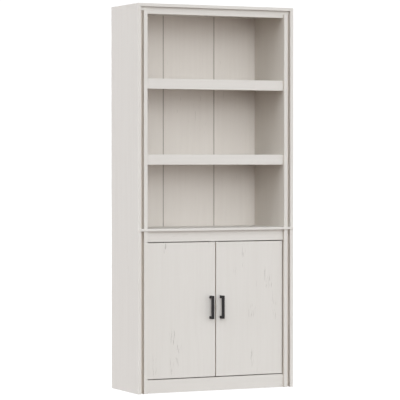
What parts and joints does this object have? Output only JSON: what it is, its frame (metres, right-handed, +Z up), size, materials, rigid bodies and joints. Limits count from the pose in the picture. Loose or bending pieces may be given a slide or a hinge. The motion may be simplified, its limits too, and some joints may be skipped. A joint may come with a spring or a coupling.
{
  "type": "bookcase with cabinet doors",
  "caption": "Tall, shallow bookcase with open shelf compartments above a counter and a cabinet below it, closed by a pair of inset doors with square bar handles.",
  "frame": {"origin": "on the floor, under the middle of the whole object's bounding box (handles to back panels)", "axes": "+Z up, +X to the right and +Y to the back, as seen by someone facing the doors"},
  "size_m": [0.806, 0.33, 1.8],
  "materials": {
    "white_laminate": "off-white wood-grain laminate on particle board, matt",
    "back_panel": "thin fibreboard, off-white wood-grain face, plain brown back",
    "black_handle": "satin black powder coat",
    "zinc_steel": "nickel or zinc plated, slightly brushed",
    "white_plastic": "moulded, fine matt",
    "magnet": "dark ferrite"
  },
  "bodies": {
    "carcass": {"bottom_panel": "white_laminate", "cabinet_shelf": "white_laminate", "cap_board": "white_laminate", "catch_magnets": "magnet", "counter_board": "white_laminate", "counter_nosing": "white_laminate", "header_rail": "white_laminate", "left_lower_hinge_arm": "zinc_steel", "left_lower_hinge_plate": "zinc_steel", "left_lower_inner_side": "white_laminate", "left_side_panel": "white_laminate", "left_upper_hinge_arm": "zinc_steel", "left_upper_hinge_plate": "zinc_steel", "left_upper_inner_side": "white_laminate", "lower_back_panel": "back_panel", "lower_side_spacers": "white_laminate", "magnetic_catch": "white_plastic", "middle_apron": "white_laminate", "middle_shelf": "white_laminate", "plinth_rail": "white_laminate", "rear_plinth_rail": "white_laminate", "right_lower_hinge_arm": "zinc_steel", "right_lower_hinge_plate": "zinc_steel", "right_lower_inner_side": "white_laminate", "right_side_panel": "white_laminate", "right_upper_hinge_arm": "zinc_steel", "right_upper_hinge_plate": "zinc_steel", "right_upper_inner_side": "white_laminate", "shelf_pins": "zinc_steel", "top_batten": "white_laminate", "top_panel": "white_laminate", "upper_apron": "white_laminate", "upper_back_panel": "back_panel", "upper_shelf": "white_laminate", "upper_side_spacers": "white_laminate"},
    "left_door": {"left_door": "white_laminate", "left_handle": "black_handle", "left_handle_screws": "zinc_steel", "left_hinge_pins": "zinc_steel", "left_lower_hinge_cup": "zinc_steel", "left_strike": "zinc_steel", "left_upper_hinge_cup": "zinc_steel"},
    "right_door": {"right_door": "white_laminate", "right_handle": "black_handle", "right_handle_screws": "zinc_steel", "right_hinge_pins": "zinc_steel", "right_lower_hinge_cup": "zinc_steel", "right_strike": "zinc_steel", "right_upper_hinge_cup": "zinc_steel"}
  },
  "joints": [
    {"name": "left_door_hinge", "type": "hinge", "parent": "carcass", "child": "left_door", "pos_m": [-0.34097, -0.127, 0.3805], "axis": [0, 0, -1], "range_deg": [0, 90]},
    {"name": "right_door_hinge", "type": "hinge", "parent": "carcass", "child": "right_door", "pos_m": [0.34097, -0.127, 0.3805], "axis": [0, 0, 1], "range_deg": [0, 90]}
  ]
}
